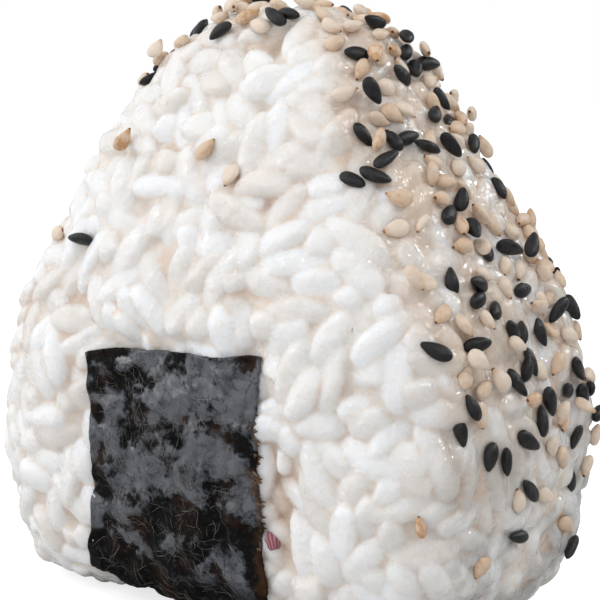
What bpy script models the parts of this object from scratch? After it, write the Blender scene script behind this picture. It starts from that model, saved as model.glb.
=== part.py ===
"""Onigiri: a pressed triangle of rice with a band of nori folded up under its base.

The broad faces look along -Y and +Y, the apex points up, and the base rests on Z = 0.
"""

import math

import bmesh
import bpy
from mathutils import Vector, noise

MM = 0.001

# The rice ball's smooth form, measured from its middle: three blended walls and two broad faces.
BASE_REACH = 38.5 * MM  # down to where the base wall would end if nothing flattened it
SLANT_REACH = 24.6 * MM  # out to each slanted wall
SLANT_TILT = math.radians(31.4)  # how far the slanted walls lean back from upright
HALF_THICKNESS = 20.9 * MM  # out to each broad face, at its fullest
WALL_BLEND = 1.45  # lower is rounder at the three corners
FACE_BLEND = 3.65  # lower is rounder where a broad face turns into the walls
FOOT_BLEND = 1.7  # higher keeps the broad faces full further down, before they turn under the base
FLOOR_DEPTH = 37.0 * MM  # the base is pressed flat at this depth below the middle

# The body thins towards its apex.
TAPER = 0.8
TAPER_START = -10.3 * MM
TAPER_SPAN = 50.6 * MM
TAPER_POWER = 1.5

# The uneven outline of the packed grains.
GRAIN_PITCH = 6.4 * MM
GRAIN_RELIEF = 1.5 * MM
GRAIN_SPREAD = 0.8  # how much of its cell each grain fills
RELIEF_FADE = 4.0 * MM  # the relief dies out over this height above the flat base
RICE_SUBDIVISIONS = 5
LONGEST_EDGE = 2.7 * MM  # longer edges of the rice's mesh are halved before the relief goes on

# The nori band: up the front, under the base and up the back.
NORI_WIDTH = 23.8 * MM
NORI_HEIGHT = 31.4 * MM
NORI_THICKNESS = 0.4 * MM
NORI_GAP = 0.3 * MM
NORI_LIFT = 0.5 * MM  # the band lies this much outside the smooth form, over the grains
NORI_WAIST = 0.5 * MM  # each long edge draws in by this much half way up
NORI_SLANT = math.radians(4.6)  # how much further round the front's top edge starts at its left end
BED_CLEARANCE = 2.5 * MM  # how far the bed's cutter stands out of the rice
NORI_ROWS = 44
NORI_COLUMNS = 9

SOLVER_STEPS = 34
SOLVER_REACH = 80 * MM


def clear_scene():
    for item in list(bpy.data.objects):
        bpy.data.objects.remove(item, do_unlink=True)


def principled(name, color, roughness, metallic=0.0):
    material = bpy.data.materials.new(name)
    material.use_nodes = True
    shader = material.node_tree.nodes["Principled BSDF"]
    shader.inputs["Base Color"].default_value = (*color, 1.0)
    shader.inputs["Roughness"].default_value = roughness
    shader.inputs["Metallic"].default_value = metallic
    return material


def half_thickness(height, inset):
    rise = min(max((height - TAPER_START) / TAPER_SPAN, 0.0), 1.2)
    return (HALF_THICKNESS - inset) * (1 - TAPER * rise**TAPER_POWER)


def fullness(point, inset):
    """Less than 1 inside the smooth form, 1 on its skin; inset moves every wall inwards."""
    lean_out = math.cos(SLANT_TILT)
    lean_up = math.sin(SLANT_TILT)
    base = max(-point.z / (BASE_REACH - inset), 0.0) ** WALL_BLEND
    right = max((point.x * lean_out + point.z * lean_up) / (SLANT_REACH - inset), 0.0)
    left = max((-point.x * lean_out + point.z * lean_up) / (SLANT_REACH - inset), 0.0)
    walls = base + right**WALL_BLEND + left**WALL_BLEND
    foot = 1 + (FOOT_BLEND - 1) * base / walls if base else 1.0
    face = abs(point.y / half_thickness(point.z, inset)) ** FACE_BLEND
    return walls ** (foot * FACE_BLEND / WALL_BLEND) + face


def skin_point(start, direction, inset=0.0, floor_rise=0.0):
    """Where a ray from start meets the skin, found by halving, then pressed flat above the floor."""
    near = 0.0
    far = SOLVER_REACH
    for _ in range(SOLVER_STEPS):
        middle = (near + far) / 2
        if fullness(start + direction * middle, inset) < 1:
            near = middle
        else:
            far = middle
    point = start + direction * near
    point.z = max(point.z, floor_rise - FLOOR_DEPTH)
    return point


def grain_relief(point):
    """Outward height of the packed grains: a dome over each cell of a 3-D cell pattern."""
    nearest = noise.voronoi(point / GRAIN_PITCH)[0][0]
    above_base = min(max((point.z + FLOOR_DEPTH) / RELIEF_FADE, 0.0), 1.0)
    return GRAIN_RELIEF * max(1 - (nearest / GRAIN_SPREAD) ** 2, 0.0) * above_base


def standing(point):
    """From the form's middle to the part's frame, which has its origin under the base."""
    return Vector((point.x, point.y, point.z + FLOOR_DEPTH))


def add_object(name, mesh, material):
    item = bpy.data.objects.new(name, mesh)
    bpy.context.scene.collection.objects.link(item)
    if material:
        mesh.materials.append(material)
    mesh.shade_smooth()
    return item


def smooth_form():
    """The smooth form as a closed mesh about its middle, with no long edges."""
    form = bmesh.new()
    bmesh.ops.create_icosphere(form, subdivisions=RICE_SUBDIVISIONS, radius=1.0)
    middle = Vector((0, 0, 0))
    for vert in form.verts:
        vert.co = skin_point(middle, vert.co.normalized())
    long_edges = [edge for edge in form.edges if edge.calc_length() > LONGEST_EDGE]
    bmesh.ops.subdivide_edges(form, edges=long_edges, cuts=1)
    bmesh.ops.triangulate(form, faces=form.faces)
    for vert in form.verts:
        vert.co = skin_point(middle, vert.co.normalized())
    return form


def rice_ball(material):
    form = smooth_form()
    for vert in form.verts:
        skin = vert.co + vert.co.normalized() * grain_relief(vert.co)
        skin.z = max(skin.z, -FLOOR_DEPTH)
        vert.co = standing(skin)
    mesh = bpy.data.meshes.new("rice")
    form.to_mesh(mesh)
    form.free()
    return add_object("rice", mesh, material)


def band_angles(extra_rise):
    """Angles about the X axis, from the front's top edge, under the base, to the back's."""
    top = NORI_HEIGHT - FLOOR_DEPTH + extra_rise
    rise = math.atan2(top, HALF_THICKNESS)
    sweep = math.pi + 2 * rise
    return [math.pi - rise + sweep * row / NORI_ROWS for row in range(NORI_ROWS + 1)]


def band_half_width(angle):
    """The band is a little narrower half way up each face than at its top and under its fold."""
    waist = math.sin(math.pi * abs(math.cos(angle))) ** 2
    return NORI_WIDTH / 2 - NORI_WAIST * waist


def band_layer(form, angles, side_margin, depth):
    """One sheet of the band: a grid of points at this depth under the band's outer face."""
    layer = []
    for index, angle in enumerate(angles):
        half = band_half_width(angle) + side_margin
        slant = NORI_SLANT * (1 - index / NORI_ROWS) ** 4
        row = []
        for column in range(NORI_COLUMNS + 1):
            turned = angle + slant * (1 - column / NORI_COLUMNS)
            ray = Vector((0, math.cos(turned), math.sin(turned)))
            across = half * (2 * column / NORI_COLUMNS - 1)
            skin = skin_point(Vector((across, 0, 0)), ray, depth - NORI_LIFT, depth)
            row.append(form.verts.new(standing(skin)))
        layer.append(row)
    return layer


def skin_over(form, layer, flip):
    for row, following in zip(layer, layer[1:]):
        for corner in range(len(row) - 1):
            ring = [row[corner], row[corner + 1], following[corner + 1], following[corner]]
            form.faces.new(ring[::-1] if flip else ring)


def rim_of(layer):
    """The layer's outer points in one loop."""
    right = [row[-1] for row in layer[1:-1]]
    left = [row[0] for row in layer[1:-1]]
    return layer[0] + right + layer[-1][::-1] + left[::-1]


def band(name, outer_depth, inner_depth, margin, material=None):
    """A closed band between two depths, wider and longer than the nori by margin all round."""
    form = bmesh.new()
    angles = band_angles(margin)
    outer = band_layer(form, angles, margin, outer_depth)
    inner = band_layer(form, angles, margin, inner_depth)
    skin_over(form, outer, flip=False)
    skin_over(form, inner, flip=True)
    outer_rim = rim_of(outer)
    inner_rim = rim_of(inner)
    for index, point in enumerate(outer_rim):
        following = (index + 1) % len(outer_rim)
        form.faces.new([outer_rim[following], point, inner_rim[index], inner_rim[following]])
    bmesh.ops.recalc_face_normals(form, faces=form.faces)
    mesh = bpy.data.meshes.new(name)
    form.to_mesh(mesh)
    form.free()
    return add_object(name, mesh, material)


def nori_band(material):
    nori = band("nori", 0.0, NORI_THICKNESS, 0.0, material)
    nori.data.set_sharp_from_angle(angle=math.radians(40))
    return nori


def press_bed(rice):
    """Presses the band's bed into the rice, with a gap all round the band."""
    cutter = band("nori_bed", -BED_CLEARANCE, NORI_THICKNESS + NORI_GAP, NORI_GAP)
    cutter.hide_render = True
    cutter.display_type = "WIRE"
    cut = rice.modifiers.new("nori bed", "BOOLEAN")
    cut.operation = "DIFFERENCE"
    cut.solver = "EXACT"
    cut.object = cutter


def main():
    clear_scene()
    rice = rice_ball(principled("cooked rice", (0.86, 0.84, 0.79), 0.42))
    nori_band(principled("toasted nori", (0.012, 0.014, 0.013), 0.38))
    press_bed(rice)


main()
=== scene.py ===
import itertools
import math

import bmesh
import bpy
import numpy as np
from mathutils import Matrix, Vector, noise
from mathutils.bvhtree import BVHTree


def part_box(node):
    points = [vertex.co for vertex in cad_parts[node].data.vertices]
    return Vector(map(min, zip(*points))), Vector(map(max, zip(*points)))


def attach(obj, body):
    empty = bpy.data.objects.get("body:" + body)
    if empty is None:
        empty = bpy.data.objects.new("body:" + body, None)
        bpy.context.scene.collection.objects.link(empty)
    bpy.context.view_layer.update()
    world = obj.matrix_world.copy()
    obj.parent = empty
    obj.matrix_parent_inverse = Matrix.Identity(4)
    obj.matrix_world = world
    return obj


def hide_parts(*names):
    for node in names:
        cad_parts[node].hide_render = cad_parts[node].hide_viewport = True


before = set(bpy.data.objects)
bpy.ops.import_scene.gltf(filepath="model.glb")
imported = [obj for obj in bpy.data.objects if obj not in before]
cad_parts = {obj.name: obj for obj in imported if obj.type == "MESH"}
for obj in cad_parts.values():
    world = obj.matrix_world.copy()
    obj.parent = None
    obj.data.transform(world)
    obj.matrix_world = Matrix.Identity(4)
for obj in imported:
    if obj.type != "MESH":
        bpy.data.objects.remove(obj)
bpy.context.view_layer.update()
mm = 0.001  # the making below works in millimetres
riceLow, riceHigh = [np.array(corner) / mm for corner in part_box("rice")]
noriLow, noriHigh = [np.array(corner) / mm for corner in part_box("nori")]
middle = (riceLow + riceHigh) / 2


def unit(vectors):
    return vectors / np.maximum(np.linalg.norm(vectors, axis=-1, keepdims=True), 1e-9)


def ease(low, high, values):
    share = np.clip((values - low) / (high - low), 0, 1)
    return share * share * (3 - 2 * share)


# Two ways at right angles, turned together in the plane that they span.
def turned(first, second, angle):
    along, over = np.cos(angle), np.sin(angle)
    return first * along + second * over, second * along - first * over


# Smooth noise from -1 to 1 at each spot.
def lumpsAt(spots, pitch):
    lumps = [noise.noise(Vector(spot) / pitch) for spot in spots.reshape(-1, 3)]
    return np.array(lumps).reshape(spots.shape[:-1])


# The values before and after each value along one axis.
def neighbours(values, axis, beyond):
    ends = [(int(axis == other),) * 2 for other in range(values.ndim)]
    padded = np.pad(values, ends, mode=beyond)
    count = values.shape[axis]
    return [np.take(padded, np.arange(first, first + count), axis=axis) for first in (0, 2)]


def blurred(values, times=1, beyond=("edge",) * 3):
    for _, axis in itertools.product(range(times), range(values.ndim)):
        before, after = neighbours(values, axis, beyond[axis])
        values = (before + 2 * values + after) / 4
    return values


def numbersOf(items, label, width, kind=np.float32):
    numbers = np.empty(len(items) * width, kind)
    items.foreach_get(label, numbers)
    return numbers.reshape(-1, width)


def fill(items, label, values, kind=np.float32):
    items.foreach_set(label, np.ravel(values).astype(kind))


def treeOf(points, faces):
    return BVHTree.FromPolygons(points.tolist(), faces.tolist())


# How far from the pivot a surface is, seen from outside it.
def reachOf(tree, pivot, way, start, missed):
    hit = tree.ray_cast(pivot + way * start, -way)
    return start - hit[3] if hit[0] else missed


def nodeTriangles(node):
    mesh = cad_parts[node].data
    mesh.calc_loop_triangles()
    points = numbersOf(mesh.vertices, "co", 3).astype(float) / mm
    return points, numbersOf(mesh.loop_triangles, "vertices", 3, np.int32)


# The rice ball's outline as a field: depth is negative inside, and its slope is the way out.
outlineField = {"pitch": 1.3, "margin": 6.0, "smoothing": 2}


class DepthField:
    def __init__(self, points, faces, settings):
        self.pitch = settings["pitch"]
        self.low = points.min(axis=0) - settings["margin"]
        span = points.max(axis=0) + settings["margin"] - self.low
        counts = np.ceil(span / self.pitch).astype(int) + 1
        tree = treeOf(points, faces)
        ranges = [(self.low[axis] + np.arange(counts[axis]) * self.pitch).tolist() for axis in range(3)]
        depths = np.empty(counts.prod(), np.float32)
        for index, spot in enumerate(itertools.product(*ranges)):
            spot = Vector(spot)
            place, normal, _, distance = tree.find_nearest(spot)
            depths[index] = math.copysign(distance, (spot - place).dot(normal))
        depths = blurred(depths.reshape(counts), settings["smoothing"])
        self.table = np.stack([depths, *np.gradient(depths, self.pitch)], axis=-1)
        self.most = counts - 1.001

    def sample(self, points):
        spots = np.clip((points - self.low) / self.pitch, 0, self.most)
        cell = spots.astype(int)
        part = spots - cell
        total = 0
        for corner in itertools.product((0, 1), repeat=3):
            weight = np.prod(np.where(corner, part, 1 - part), axis=-1)
            index = cell + corner
            total = total + weight[..., None] * self.table[index[..., 0], index[..., 1], index[..., 2]]
        return total[..., 0], unit(total[..., 1:])


def addObject(name, data):
    item = bpy.data.objects.new(name, data)
    bpy.context.scene.collection.objects.link(item)
    return item


def makePiece(name, mesh, material):
    fill(mesh.polygons, "use_smooth", np.ones(len(mesh.polygons)), bool)
    mesh.materials.append(material)
    piece = addObject(name, mesh)
    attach(piece, "root")
    print(name, len(mesh.vertices), "points")
    return piece


def paint(mesh, attributes):
    for label, values in attributes.items():
        fill(mesh.attributes.new(label, "FLOAT", "POINT").data, "value", values)


def meshFrom(name, points, loops, sizes, uvs, attributes):
    mesh = bpy.data.meshes.new(name)
    mesh.vertices.add(len(points))
    fill(mesh.vertices, "co", points * mm)
    mesh.loops.add(len(loops))
    fill(mesh.loops, "vertex_index", loops, np.int32)
    mesh.polygons.add(len(sizes))
    fill(mesh.polygons, "loop_start", np.cumsum(sizes) - sizes, np.int32)
    fill(mesh.polygons, "loop_total", sizes, np.int32)
    mesh.update(calc_edges=True)
    fill(mesh.uv_layers.new(name="OFBake").data, "uv", uvs)
    paint(mesh, attributes)
    return mesh


def wallFaces(ringCount, sides):
    ring, side = [grid.ravel() for grid in np.indices((ringCount - 1, sides))]
    after = (side + 1) % sides
    low, high = ring * sides, (ring + 1) * sides
    return ring, side, np.stack([low + side, low + after, high + after, high + side], axis=-1)


# Closed bodies in one mesh: rings of points between two end points, each body in its own UV cell.
def bodiesMesh(name, rings, firstEnds, lastEnds, attributes):
    bodies, ringCount, sides = rings.shape[:3]
    perBody = ringCount * sides + 2
    points = np.concatenate([rings.reshape(bodies, -1, 3), firstEnds[:, None], lastEnds[:, None]], axis=1)
    ring, side, walls = wallFaces(ringCount, sides)
    wallUvs = np.stack([side, ring + 1, side + 1, ring + 1, side + 1, ring + 2, side, ring + 2], axis=-1)
    side = np.arange(sides)
    after = (side + 1) % sides
    last = (ringCount - 1) * sides
    firstFan = np.stack([after, side, np.full(sides, perBody - 2)], axis=-1)
    lastFan = np.stack([last + side, last + after, np.full(sides, perBody - 1)], axis=-1)
    one, top = np.ones(sides), np.full(sides, ringCount)
    firstUvs = np.stack([side + 1, one, side, one, side + 0.5, 0 * one], axis=-1)
    lastUvs = np.stack([side, top, side + 1, top, side + 0.5, top + 1], axis=-1)
    template = np.concatenate([walls.ravel(), firstFan.ravel(), lastFan.ravel()])
    flatUvs = np.concatenate([uvs.reshape(-1, 2) for uvs in (wallUvs, firstUvs, lastUvs)])
    sizes = np.tile(np.repeat([4, 3], [len(walls), 2 * sides]), bodies)
    loops = (template[None] + np.arange(bodies)[:, None] * perBody).ravel()
    columns = math.ceil(math.sqrt(bodies))
    cells = np.stack(np.divmod(np.arange(bodies), columns)[::-1], axis=-1)
    uvs = (cells[:, None] + 0.06 + 0.88 * (flatUvs / (sides, ringCount + 1))[None]) / columns
    spread = {label: np.broadcast_to(np.asarray(values).reshape(bodies, -1), (bodies, perBody))
              for label, values in attributes.items()}
    return meshFrom(name, points.reshape(-1, 3), loops, sizes, uvs.reshape(-1, 2), spread)


# One thin sheet with two faces and a rim, from two grids of points.
def sheetMesh(name, outer, inner, attributes):
    rows, columns = outer.shape[:2]
    count = rows * columns
    index = np.arange(count).reshape(rows, columns)
    corners = [index[:-1, :-1], index[:-1, 1:], index[1:, 1:], index[1:, :-1]]
    face = np.stack(corners, axis=-1).reshape(-1, 4)
    rim = np.concatenate([index[0, :-1], index[:-1, -1], index[-1, :0:-1], index[:0:-1, 0]])
    after = np.roll(rim, -1)
    walls = np.stack([after, rim, rim + count, after + count], axis=-1)
    across, down = np.meshgrid(np.arange(columns) / (columns - 1), np.arange(rows) / (rows - 1))
    spread = np.stack([across, down], axis=-1).reshape(-1, 2) * (0.48, 0.95)
    strip = np.arange(len(rim)) / len(rim)
    stripUvs = np.stack([strip + 1 / len(rim), 0 * strip + 0.97, strip, 0 * strip + 0.97,
                         strip, 0 * strip + 0.99, strip + 1 / len(rim), 0 * strip + 0.99], axis=-1)
    loops = np.concatenate([face.ravel(), (face[:, ::-1] + count).ravel(), walls.ravel()])
    uvs = np.concatenate([spread[face].reshape(-1, 2) + 0.005,
                          spread[face[:, ::-1]].reshape(-1, 2) + (0.51, 0.005), stripUvs.reshape(-1, 2)])
    points = np.concatenate([outer.reshape(-1, 3), inner.reshape(-1, 3)])
    doubled = {label: np.tile(np.ravel(values), 2) for label, values in attributes.items()}
    return meshFrom(name, points, loops, np.full(len(loops) // 4, 4), uvs, doubled)


# Thin strands: flat or round tubes along paths, with a short tip at each end.
def strandPiece(name, shape, paths, frames, sizes, tips, material):
    turn = 2 * math.pi * np.arange(shape["sides"]) / shape["sides"]
    rings = paths[:, :, None]
    for way, size, lean in zip(frames, sizes, (np.cos(turn), np.sin(turn))):
        rings = rings + way[:, :, None] * (lean[:, None] * size[:, :, None, None])
    first, last = [way * shape["tip"] for way in tips]
    mesh = bodiesMesh(name, rings, paths[:, 0] - first, paths[:, -1] + last,
                      {"tone": chances.random(len(paths))})
    makePiece(name, mesh, material)


class Signal:  # a shader socket that Python arithmetic works on
    def __init__(self, wiring, socket):
        self.wiring, self.socket = wiring, socket

    def __add__(self, other):
        return self.wiring.math("ADD", self, other)

    def __radd__(self, other):
        return self.wiring.math("ADD", other, self)

    def __sub__(self, other):
        return self.wiring.math("SUBTRACT", self, other)

    def __rsub__(self, other):
        return self.wiring.math("SUBTRACT", other, self)

    def __mul__(self, other):
        return self.wiring.math("MULTIPLY", self, other)

    def __rmul__(self, other):
        return self.wiring.math("MULTIPLY", other, self)


class Wiring:  # adds nodes to one tree
    def __init__(self, tree):
        self.tree = tree

    def add(self, kind, settings=None, values=None, output=0):
        node = self.tree.nodes.new(kind)
        for label, value in (settings or {}).items():
            setattr(node, label, value)
        for label, value in (values or {}).items():
            self.join(node.inputs[label], value)
        return Signal(self, node.outputs[output])

    def join(self, socket, value):
        if isinstance(value, Signal):
            self.tree.links.new(value.socket, socket)
        elif isinstance(value, tuple) and len(value) == 3 and socket.type == "RGBA":
            socket.default_value = (*value, 1)
        else:
            socket.default_value = value

    def math(self, operation, first, second=0.0):
        return self.add("ShaderNodeMath", {"operation": operation}, {0: first, 1: second})

    def fade(self, signal, low, high, least=0.0, most=1.0):
        values = {"Value": signal, "From Min": low, "From Max": high, "To Min": least, "To Max": most}
        return self.add("ShaderNodeMapRange", {"interpolation_type": "SMOOTHSTEP"}, values)


class Finish(Wiring):  # a material under construction
    def __init__(self, name, **constants):
        self.material = bpy.data.materials.new(name)
        self.material.use_nodes = True
        super().__init__(self.material.node_tree)
        self.shader = self.tree.nodes["Principled BSDF"]
        for label, value in constants.items():
            self.feed(label.replace("_", " "), value)

    def feed(self, label, value):
        self.join(self.shader.inputs[label], value)

    def grain(self, scale, detail=2, roughness=0.5, distortion=0.0):
        values = {"Vector": self.add("ShaderNodeTexCoord", output="Object"), "Scale": scale,
                  "Detail": detail, "Roughness": roughness, "Distortion": distortion}
        return self.add("ShaderNodeTexNoise", {}, values)

    def painted(self, label):
        return self.add("ShaderNodeAttribute", {"attribute_name": label}, output="Fac")

    def between(self, mask, first, second):
        return self.add("ShaderNodeMix", {"data_type": "RGBA"}, {0: mask, 6: first, 7: second}, 2)

    def speckle(self, roughness, spread, grain):
        self.feed("Roughness", roughness + (grain - 0.5) * spread)

    def bump(self, height, distance, strength=1.0):
        values = {"Height": height, "Distance": distance, "Strength": strength}
        self.feed("Normal", self.add("ShaderNodeBump", {}, values))


riceLook = {
    "milky": (0.91, 0.92, 0.93),
    "plain": (0.87, 0.86, 0.845),
    "clear": (0.80, 0.765, 0.725),
    "soaked": (0.79, 0.67, 0.565),
    "paintedLowShade": (0.50, 0.50, 0.49),  # painted shade: the walls near the base are painted darker and greyer
    "lowShadeHeights": (0.15, 0.55),  # shares of the height: painted shade up to the first, soaked from the second
    # The gap colours are partly the starch film's own colour and partly painted shade, darker still in deep
    # hollows.
    "paleStarchWithShade": (0.84, 0.755, 0.665),
    "starchWithShade": (0.72, 0.54, 0.40),
    "paintedHollowShade": (0.50, 0.34, 0.21),
    "hollowShadeDepths": (1.0, 2.8),
    "filmCover": 0.7,  # how much of a grain's own colour the starch film and its painted shade hide
    "glow": 1.8 * mm,  # how far light travels in a grain
    "gloss": 0.85,
    "dryRoughness": 0.35,
    "wetRoughness": 0.15,
    "skinRelief": 0.36 * mm,
}


def riceFinish(name):
    finish = Finish(name, IOR=1.42, Subsurface_Weight=1.0, Subsurface_Radius=(1.0, 0.92, 0.82),
                    Subsurface_Scale=riceLook["glow"], Specular_IOR_Level=riceLook["gloss"])
    wet = finish.painted("wet")
    cloud = finish.grain(380, detail=3)
    streaks = finish.grain(1300, detail=4, roughness=0.6, distortion=0.6)
    tone = finish.painted("tone") + (cloud - 0.5) * 0.5 + (streaks - 0.5) * 0.7 - wet * 0.2
    body = finish.between(finish.fade(tone, 0.0, 0.5), riceLook["clear"], riceLook["plain"])
    body = finish.between(finish.fade(tone, 0.55, 1.0), body, riceLook["milky"])
    # Painted shade: the wet walls are painted darker and greyer towards the base.
    risen = finish.fade(finish.painted("height"), *riceLook["lowShadeHeights"])
    soaked = finish.between(risen, riceLook["paintedLowShade"], riceLook["soaked"])
    body = finish.between(wet * finish.fade(finish.grain(160, detail=4), 0.35, 0.6), body, soaked)
    # Painted shade: the starch in the gaps and along the creases is painted warmer and darker than the
    # grains, and deep hollows darker still.
    patches = finish.fade(finish.grain(110, detail=3), 0.50, 0.66)
    starchWithShade = finish.between(patches, riceLook["paleStarchWithShade"], riceLook["starchWithShade"])
    starchAndCreaseShade = finish.painted("starchAndCreaseShade") * (riceLook["filmCover"] + wet * 0.15)
    body = finish.between(starchAndCreaseShade, body, starchWithShade)
    deep = finish.fade(finish.painted("depth"), *riceLook["hollowShadeDepths"])
    finish.feed("Base Color", finish.between(deep, body, riceLook["paintedHollowShade"]))
    patches = finish.fade(finish.grain(450, detail=4, roughness=0.65), 0.42, 0.60)
    drop = riceLook["dryRoughness"] - riceLook["wetRoughness"]
    finish.feed("Roughness", riceLook["dryRoughness"] - wet * drop - (patches - 0.5) * 0.16)
    skin = finish.grain(1000, detail=1.5, roughness=0.4, distortion=0.5)
    finish.bump(skin * (0.4 + patches * 0.25 + wet * 0.5), riceLook["skinRelief"])
    return finish.material


packing = {
    "seed": 21,  # of every random draw below
    "layers": ((1150, 1.5), (420, 4.0)),  # how many grains and how deep: the outer ones, the inner ones
    "length": (6.0, 8.6),
    "width": (2.8, 3.7),
    "shortShare": 0.20,  # broken grains
    "shortened": (0.5, 0.72),
    "lean": 0.22,  # how far grains tip out of the surface
    "chain": ((-1, 0.72), (-0.36, 0.98), (0.36, 0.98), (1, 0.72)),  # balls it packs as: place, size
    "near": 8.6,  # only grains with middles closer than this can touch
    "tightness": 0.68,  # under 1, the sticky grains press into each other
    "steps": 60,
    "standProud": 0.3,  # how far a loose grain may rise out of a broad face
    "push": 0.32,
    "pressDown": 0.7,
    "innerPull": 0.02,
    "outerPull": 0.07,
    "mostTurn": 0.12,
}
chances = np.random.default_rng(packing["seed"])


def drawEach(count, low, high):
    return chances.uniform(low, high, (count, 1, 1))


def surfacePoints(points, faces, count):
    corners = points[faces]
    normals = np.cross(corners[:, 1] - corners[:, 0], corners[:, 2] - corners[:, 0])
    areas = np.linalg.norm(normals, axis=-1) / 2
    picks = chances.choice(len(faces), count, p=areas / areas.sum())
    shares = chances.random((count, 2))
    shares = np.where(shares.sum(axis=1, keepdims=True) > 1, 1 - shares, shares)
    spots = corners[picks, 0] + ((corners[picks, 1:] - corners[picks, :1]) * shares[..., None]).sum(axis=1)
    return spots, areas.sum()


def spacedPoints(points, faces, count):
    spots, area = surfacePoints(points, faces, count * 7)
    reach = math.sqrt(area / count) * 0.8
    kept = np.empty((0, 3))
    for spot in spots:
        if len(kept) == 0 or ((kept - spot) ** 2).sum(axis=1).min() > reach * reach:
            kept = np.vstack([kept, spot])
        if len(kept) == count:
            break
    return kept


def rimShare(normals):
    return 1 - ease(0.35, 0.8, np.abs(normals[..., 1]))


# Hollows in the outline, beside the nori where grains have fallen away: middle, half sizes and depth.
hollows = [
    ((noriHigh[0] + 2.3, riceLow[1] + 1.5, 15.0), (2.2, 7.0, 8.5), 2.2),
    ((noriHigh[0] + 1.0, riceLow[1] + 1.5, 31.5), (4.5, 6.0, 2.2), 0.9),
]


def hollowDepth(points):
    total = np.zeros(points.shape[:-1])
    for center, halves, depth in hollows:
        total += depth * np.exp(-(((points - center) / halves) ** 2).sum(axis=-1))
    return total


def packGrains(field, points, faces):
    layers = []
    for count, depth in packing["layers"]:
        spots = spacedPoints(points, faces, count)
        _, normals = field.sample(spots)
        spots = spots - normals * (depth + chances.uniform(-0.4, 0.4, (len(spots), 1)))
        layers.append((spots, np.full(len(spots), depth)))
    centers = np.vstack([spots for spots, _ in layers])
    targets = np.concatenate([depths for _, depths in layers])
    count = len(centers)
    lengths = chances.uniform(*packing["length"], count)
    widths = chances.uniform(*packing["width"], count)
    broken = chances.random(count) < packing["shortShare"]
    lengths[broken] *= chances.uniform(*packing["shortened"], broken.sum())
    _, normals = field.sample(centers)
    axes = np.cross(normals, unit(chances.normal(size=(count, 3))))
    axes = unit(axes + normals * chances.normal(0, packing["lean"], (count, 1)))
    places, sizes = np.array(packing["chain"]).T
    radii = widths[:, None] / 2 * sizes
    stations = places * (lengths / 2 - radii[:, 0])[:, None]
    proud = chances.uniform(-0.25, packing["standProud"], count)
    outerDepth, innerDepth = [depth for _, depth in packing["layers"]]
    inner = targets > outerDepth
    proud[inner] = -(innerDepth - outerDepth) * 0.7
    pulls = np.where(inner, packing["innerPull"], packing["outerPull"])[:, None]
    for step in range(packing["steps"]):
        balls = centers[:, None] + axes[:, None] * stations[..., None]
        if step % 8 == 0:
            gaps = np.linalg.norm(centers[:, None] - centers[None], axis=-1)
            first, second = np.nonzero(np.triu(gaps < packing["near"], 1))
        between = balls[first][:, :, None] - balls[second][:, None]
        distance = np.maximum(np.linalg.norm(between, axis=-1), 1e-6)
        reach = (radii[first][:, :, None] + radii[second][:, None]) * packing["tightness"]
        push = between * (np.maximum(reach - distance, 0) / distance * packing["push"])[..., None]
        moves = np.zeros_like(balls)
        np.add.at(moves, first, push.sum(axis=2))
        np.add.at(moves, second, -push.sum(axis=1))
        depth, out = field.sample(balls)
        limit = proud[:, None] * (1 - rimShare(out) * (~inner)[:, None]) - hollowDepth(balls)
        excess = depth + radii * 0.92 - limit
        moves -= out * (np.maximum(excess, 0) * packing["pressDown"])[..., None]
        moves += out * (np.clip(-(excess + 0.15), 0, 1) * pulls)[..., None]
        centers += moves.mean(axis=1)
        turn = (moves * stations[..., None]).sum(axis=1) / (stations ** 2).sum(axis=1)[:, None]
        axes = unit(axes + np.clip(turn, -packing["mostTurn"], packing["mostTurn"]))
    overlap = np.maximum(reach / packing["tightness"] - distance, 0)
    print("grains packed:", count, "deepest overlap", round(float(overlap.max()), 2))
    return {"centers": centers, "axes": axes, "lengths": lengths, "widths": widths, "broken": broken}


grainShape = {
    "rings": 12,
    "sides": 14,
    "bluntness": (2.3, 3.5),
    "point": (0.0, 0.32),  # how far one end narrows
    "squareness": (0.66, 0.92),  # under 1, the cross-section has flatter sides
    "flatness": (0.62, 0.88),
    "brokenAt": (0.2, 0.7),  # where a broken grain ends, along its length
    "roll": 0.4,
    "sideBend": 0.55,
    "upBend": (-0.35, 0.15),
    "ripples": (  # least, most, turns around, drift along
        (0.02, 0.06, 2, 2.2), (0.0, 0.045, 3, -3.7), (0.0, 0.03, 1, 6.5)),
    "lumps": (2.2, 0.20),  # pitch and height of the unevenness of every grain
}


# Each grain's own shape: plump, a little bent, narrower at one end, some of them broken across.
def shapeGrains(field, grains):
    count = len(grains["centers"])
    _, out = field.sample(grains["centers"])
    aside = unit(np.cross(out, grains["axes"]))
    roll = chances.uniform(-grainShape["roll"], grainShape["roll"], (count, 1))
    grains["aside"], grains["upward"] = turned(aside, np.cross(grains["axes"], aside), roll)
    for label in ("bluntness", "point", "flatness", "squareness"):
        grains[label] = chances.uniform(*grainShape[label], count)
    grains["cut"] = np.where(grains["broken"], chances.uniform(*grainShape["brokenAt"], count), 1.0)
    grains["bendSide"] = chances.uniform(-1, 1, count) * grainShape["sideBend"]
    grains["bendUp"] = chances.uniform(*grainShape["upBend"], count)
    grains["tone"] = chances.random(count)
    return grains


def profileOf(grains, along):
    bluntness, point, cut = [grains[label][:, None] for label in ("bluntness", "point", "cut")]
    clipped = np.minimum(along, cut)
    profile = (1 - np.minimum(np.abs(clipped), 1) ** bluntness) ** 0.5
    profile = profile * (1 - point * ease(-0.1, 1, clipped))
    beyond = np.clip((along - clipped) / np.maximum(1 - cut, 1e-6), 0, 1)
    return profile * (1 - 0.8 * beyond), clipped


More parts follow.
